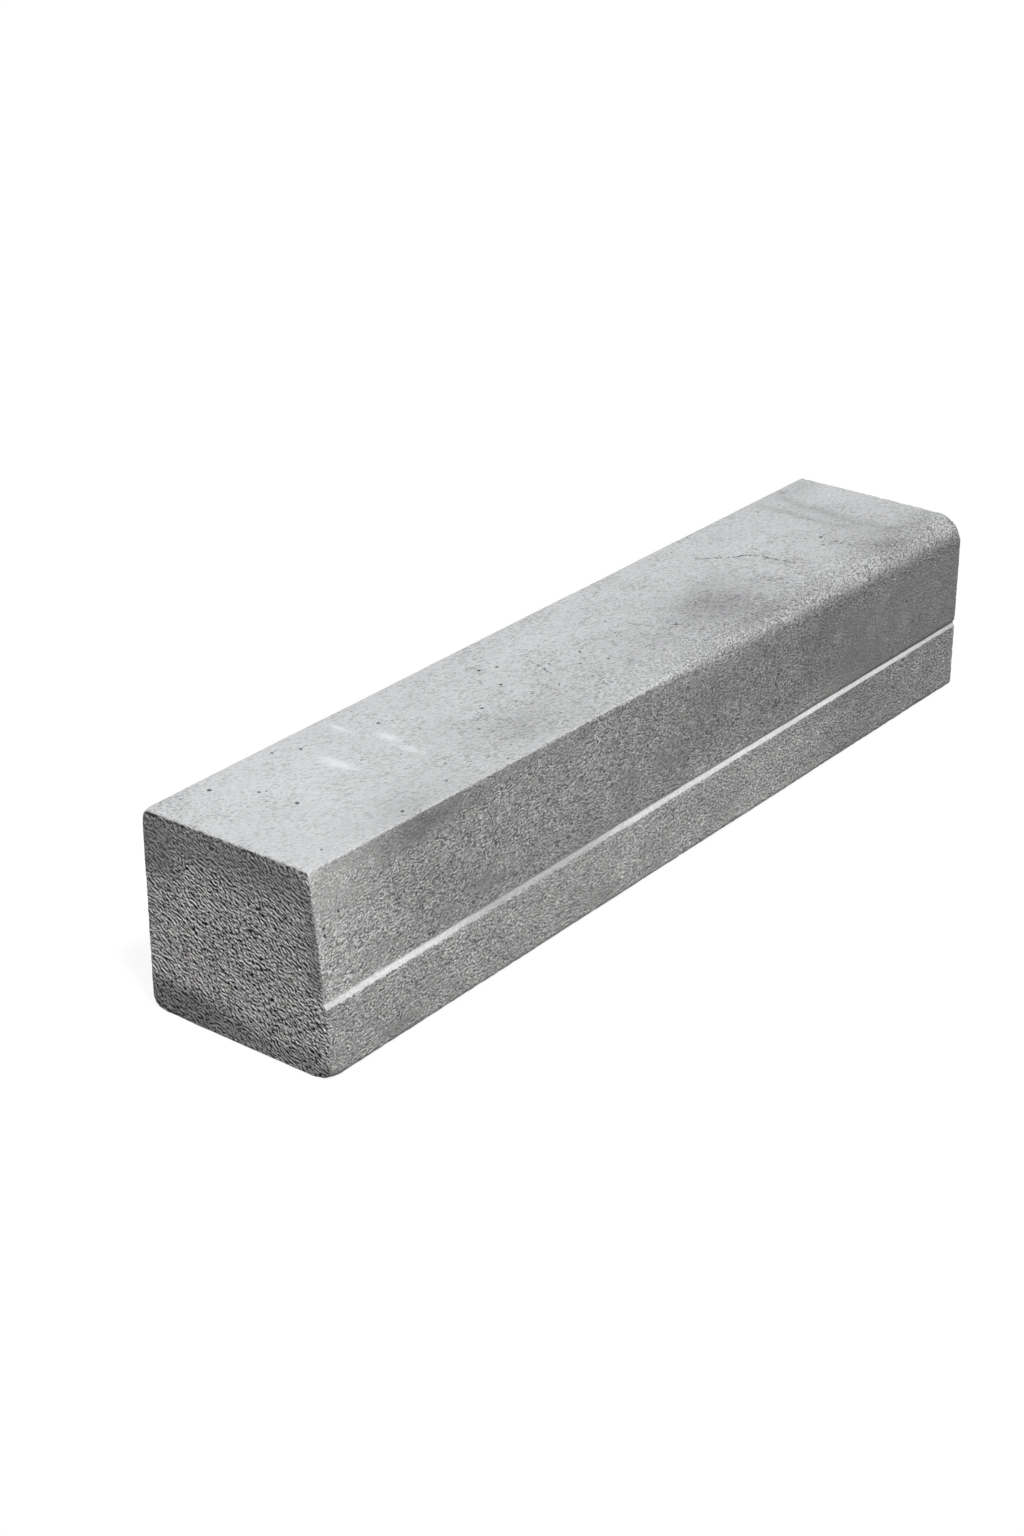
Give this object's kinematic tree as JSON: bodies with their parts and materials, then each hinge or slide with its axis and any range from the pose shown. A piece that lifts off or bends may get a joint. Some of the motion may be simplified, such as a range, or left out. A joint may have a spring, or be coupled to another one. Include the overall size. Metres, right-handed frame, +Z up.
{
  "type": "concrete kerb stone",
  "caption": "Cast concrete transition kerb with a ledge along its road face, which turns from a batter at one end to a plumb face with a wide bullnose at the other.",
  "frame": {"origin": "middle of the underside of the kerb's box, on the bed it lies on", "axes": "+X along the kerb from its battered end to its bullnosed end, -Y out of the road face, +Y out of the back, +Z up"},
  "size_m": [1, 0.2, 0.19],
  "materials": {
    "concrete": "matte, fine pitted cast concrete"
  },
  "bodies": {
    "root": {"kerb_stone": "concrete"}
  },
  "joints": []
}
